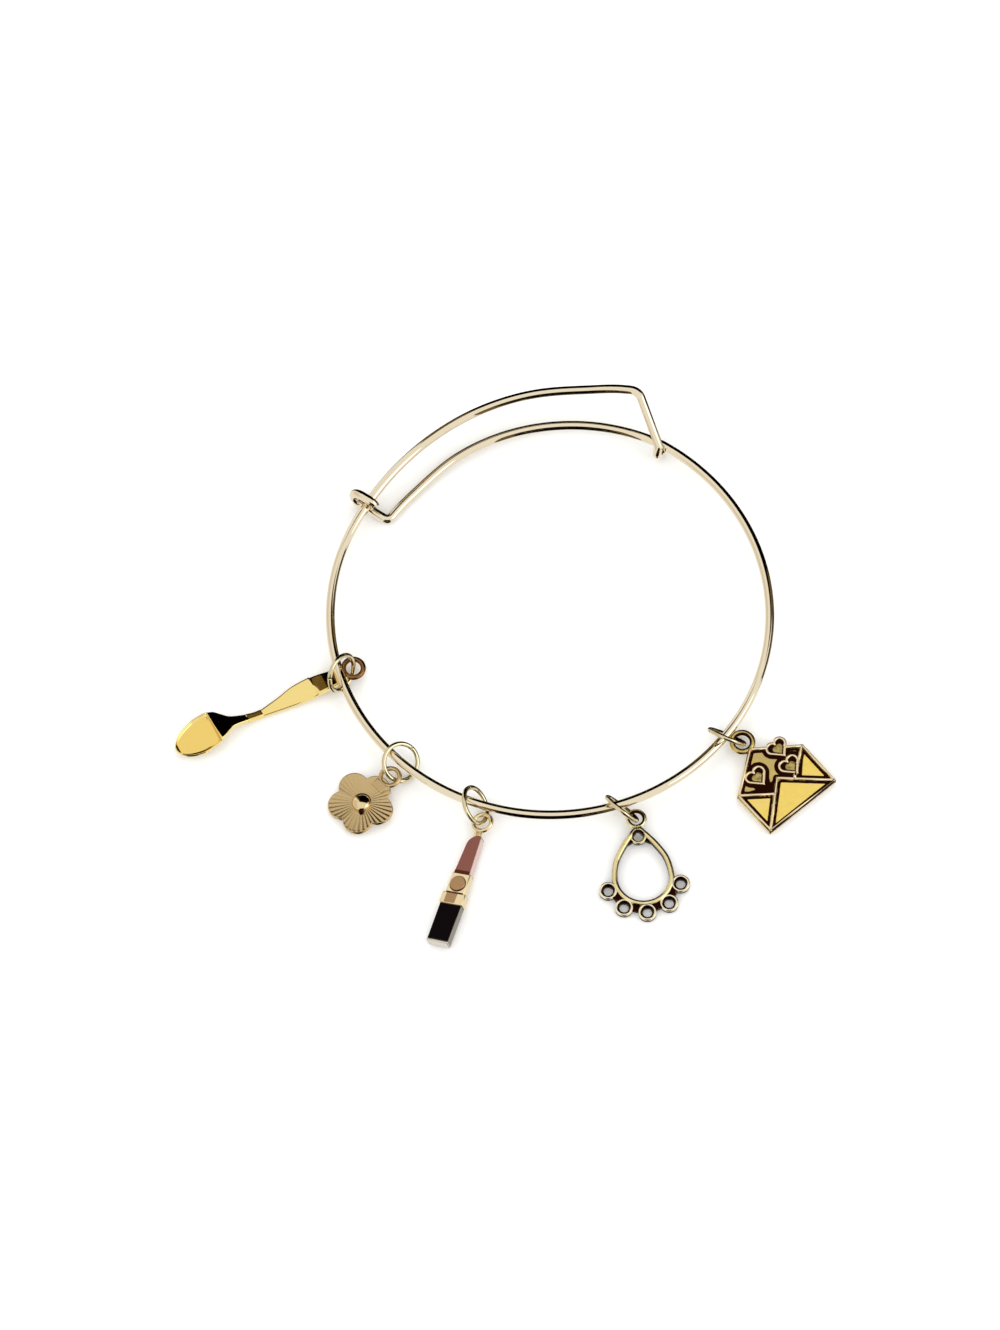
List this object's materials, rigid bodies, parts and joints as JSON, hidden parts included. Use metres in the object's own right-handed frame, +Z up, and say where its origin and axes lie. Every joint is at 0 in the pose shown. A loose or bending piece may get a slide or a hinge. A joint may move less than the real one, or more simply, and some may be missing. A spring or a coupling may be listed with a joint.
{
  "type": "charm bangle",
  "caption": "Sprung wire bangle with sliding hooked ends, hung with a spoon, flower, lipstick, eyeleted teardrop and envelope charm on jump rings, lying flat.",
  "frame": {"origin": "middle of the wrist ring, on the surface that the bangle lies on", "axes": "+Z up, out of the surface and along the way a wrist goes through; +Y from the charms' side to the side of the two hooks; +X to the right when +Y points away"},
  "size_m": [0.0974, 0.0892, 0.0081],
  "materials": {
    "bangle_wire": "polished pale gold plate",
    "spoon_charm": "polished gold plate",
    "spoon_jump_ring": "polished pale gold plate",
    "flower_charm": "satin gold plate",
    "flower_jump_ring": "polished pale gold plate",
    "lipstick_charm": "polished pale gold plate",
    "lipstick_pink_enamel": "glossy rose enamel",
    "lipstick_black_enamel": "glossy black enamel",
    "lipstick_jump_ring": "polished pale gold plate",
    "teardrop_charm": "antiqued gold plate",
    "teardrop_jump_ring": "polished pale gold plate",
    "envelope_charm": "antiqued gold plate",
    "envelope_jump_ring": "polished pale gold plate"
  },
  "bodies": {
    "root": {"bangle_wire": "bangle_wire", "spoon_charm": "spoon_charm", "spoon_jump_ring": "spoon_jump_ring", "flower_charm": "flower_charm", "flower_jump_ring": "flower_jump_ring", "lipstick_charm": "lipstick_charm", "lipstick_pink_enamel": "lipstick_pink_enamel", "lipstick_black_enamel": "lipstick_black_enamel", "lipstick_jump_ring": "lipstick_jump_ring", "teardrop_charm": "teardrop_charm", "teardrop_jump_ring": "teardrop_jump_ring", "envelope_charm": "envelope_charm", "envelope_jump_ring": "envelope_jump_ring"}
  },
  "joints": []
}
